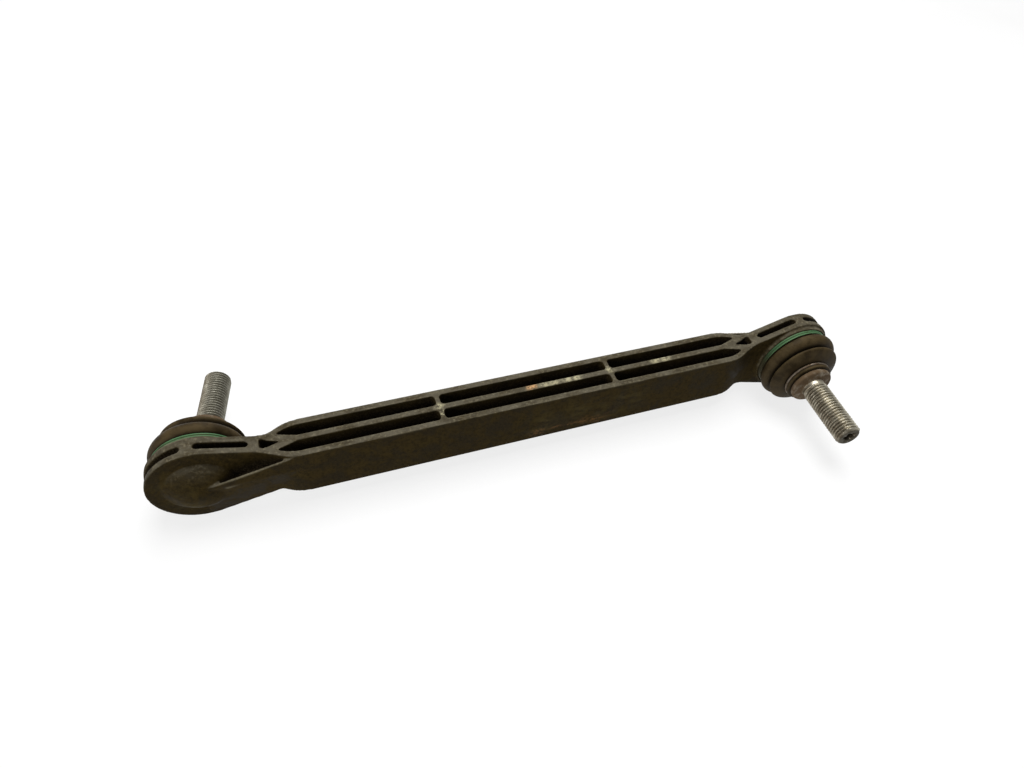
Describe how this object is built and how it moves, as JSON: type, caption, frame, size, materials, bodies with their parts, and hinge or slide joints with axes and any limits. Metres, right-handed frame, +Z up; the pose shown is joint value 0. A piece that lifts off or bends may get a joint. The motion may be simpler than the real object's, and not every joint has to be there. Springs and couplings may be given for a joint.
{
  "type": "stabilizer link",
  "caption": "Moulded stabilizer link with a ribbed arm and, at each end, a booted ball joint whose threaded stud bolts to a stabilizer bar or strut.",
  "frame": {"origin": "midway between the two heads, on the link's centre line at mid height", "axes": "+X along the link from the left head to the right head, +Z up, the left stud points to +Y and the right stud to -Y"},
  "size_m": [0.332, 0.1201, 0.042],
  "materials": {
    "moulding": "glass-filled nylon, moulded, dusty",
    "seat_plastic": "acetal, greased",
    "ring_plastic": "green plastic",
    "boot_rubber": "rubber, dusty brown",
    "ring_wire": "spring steel wire, dull",
    "ball_steel": "polished bearing steel",
    "stud_steel": "plated steel, thread worn, collar lightly rusted"
  },
  "bodies": {
    "link": {"link_body": "moulding", "ball_seat_left": "seat_plastic", "ball_seat_right": "seat_plastic", "closing_ring_left": "ring_plastic", "closing_ring_right": "ring_plastic"},
    "left_boot": {"boot_left": "boot_rubber"},
    "left_neck": {"neck_ring_left": "ring_wire"},
    "left_stud": {"ball_left": "ball_steel", "stud_left": "stud_steel"},
    "right_boot": {"boot_right": "boot_rubber"},
    "right_neck": {"neck_ring_right": "ring_wire"},
    "right_stud": {"ball_right": "ball_steel", "stud_right": "stud_steel"}
  },
  "joints": [
    {"name": "left_swing", "type": "hinge", "parent": "link", "child": "left_boot", "pos_m": [-0.145, 0.003, 0], "axis": [0, 0, 1], "range_deg": [-10, 30], "deforming": ["boot_left"]},
    {"name": "left_rock", "type": "hinge", "parent": "left_boot", "child": "left_neck", "pos_m": [-0.145, 0.003, 0], "axis": [0.9848, -0.1736, 0], "range_deg": [-16, 24], "deforming": ["boot_left"]},
    {"name": "left_spin", "type": "hinge", "parent": "left_neck", "child": "left_stud", "pos_m": [-0.145, 0.003, 0], "axis": [0.1732, 0.9824, -0.0698], "continuous": true},
    {"name": "right_swing", "type": "hinge", "parent": "link", "child": "right_boot", "pos_m": [0.145, -0.003, 0], "axis": [0, 0, 1], "range_deg": [-16.5, 23.5], "deforming": ["boot_right"]},
    {"name": "right_rock", "type": "hinge", "parent": "right_boot", "child": "right_neck", "pos_m": [0.145, -0.003, 0], "axis": [-0.9981, 0.061, 0], "range_deg": [-20, 20], "deforming": ["boot_right"]},
    {"name": "right_spin", "type": "hinge", "parent": "right_neck", "child": "right_stud", "pos_m": [0.145, -0.003, 0], "axis": [-0.061, -0.9981, 0], "continuous": true}
  ]
}
